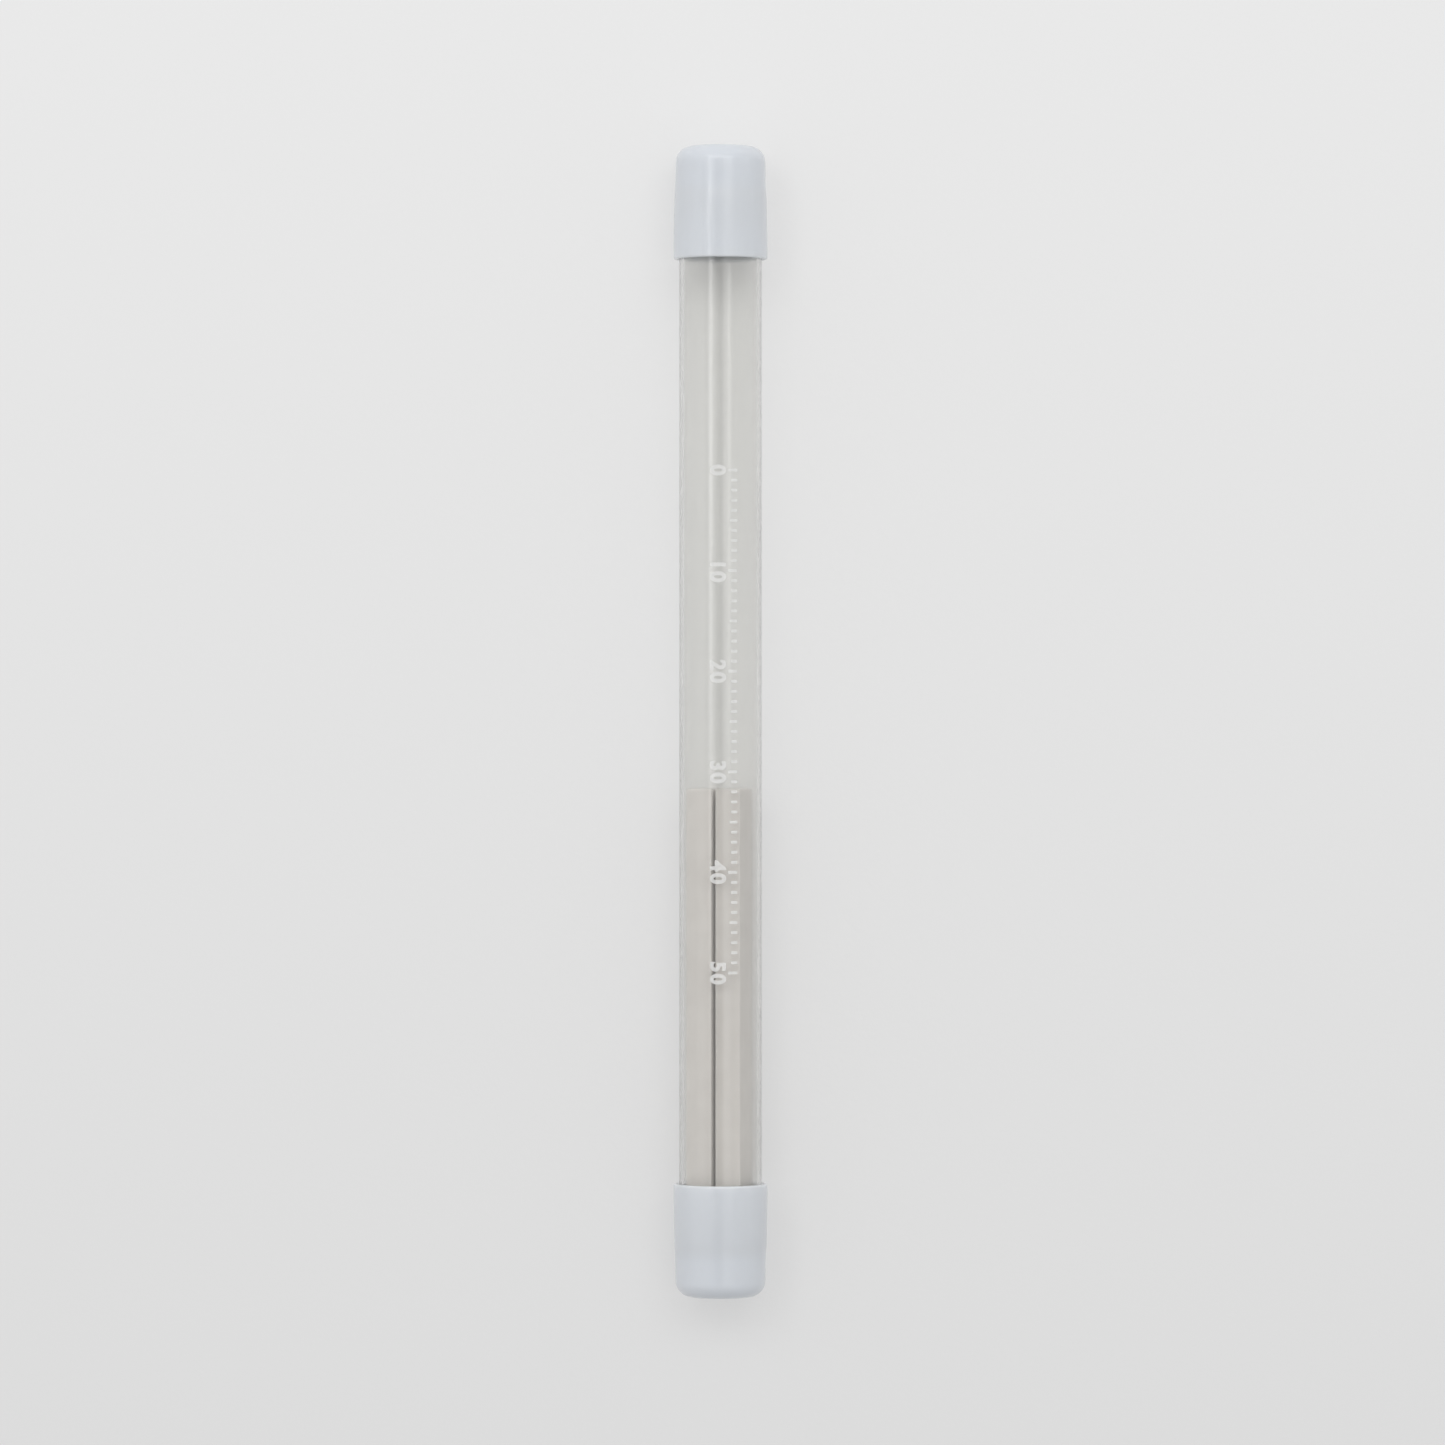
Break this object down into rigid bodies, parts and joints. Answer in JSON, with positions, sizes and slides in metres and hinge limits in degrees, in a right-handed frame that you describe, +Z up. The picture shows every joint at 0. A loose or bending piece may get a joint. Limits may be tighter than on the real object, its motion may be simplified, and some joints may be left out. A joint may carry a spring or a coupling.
{
  "type": "eraser stick refill tube",
  "caption": "Slim see-through plastic tube with push-on soft end caps, holding rectangular white eraser refill sticks for an eraser holder.",
  "frame": {"origin": "on the surface that the part lies on, below the middle of the tube", "axes": "+Y along the tube's axis towards the top cap, which the empty half of the tube is next to; +Z up from the surface; +X to the right in the picture"},
  "size_m": [0.0094, 0.115, 0.0094],
  "materials": {
    "tube_plastic": "thin natural plastic, lightly frosted and see-through",
    "cap_plastic": "soft pale blue-grey plastic, satin",
    "eraser": "matte white eraser compound, cut square at the ends",
    "scale_ink": "thin white printing ink, on the printed scale that the looks add to the tube"
  },
  "bodies": {
    "tube": {"tube": "tube_plastic"},
    "top_cap": {"top_cap": "cap_plastic"},
    "bottom_cap": {"bottom_cap": "cap_plastic"},
    "left_stick": {"left_stick": "eraser"},
    "right_stick": {"right_stick": "eraser"}
  },
  "joints": [
    {"name": "top_cap_pull", "type": "slide", "parent": "tube", "child": "top_cap", "axis": [0, 1, 0], "range_m": [0, 0.015]},
    {"name": "bottom_cap_pull", "type": "slide", "parent": "tube", "child": "bottom_cap", "axis": [0, -1, 0], "range_m": [0, 0.015]},
    {"name": "left_stick_slide", "type": "slide", "parent": "tube", "child": "left_stick", "axis": [0, 1, 0], "range_m": [0, 0.0625]},
    {"name": "right_stick_slide", "type": "slide", "parent": "tube", "child": "right_stick", "axis": [0, 1, 0], "range_m": [0, 0.0625]}
  ]
}
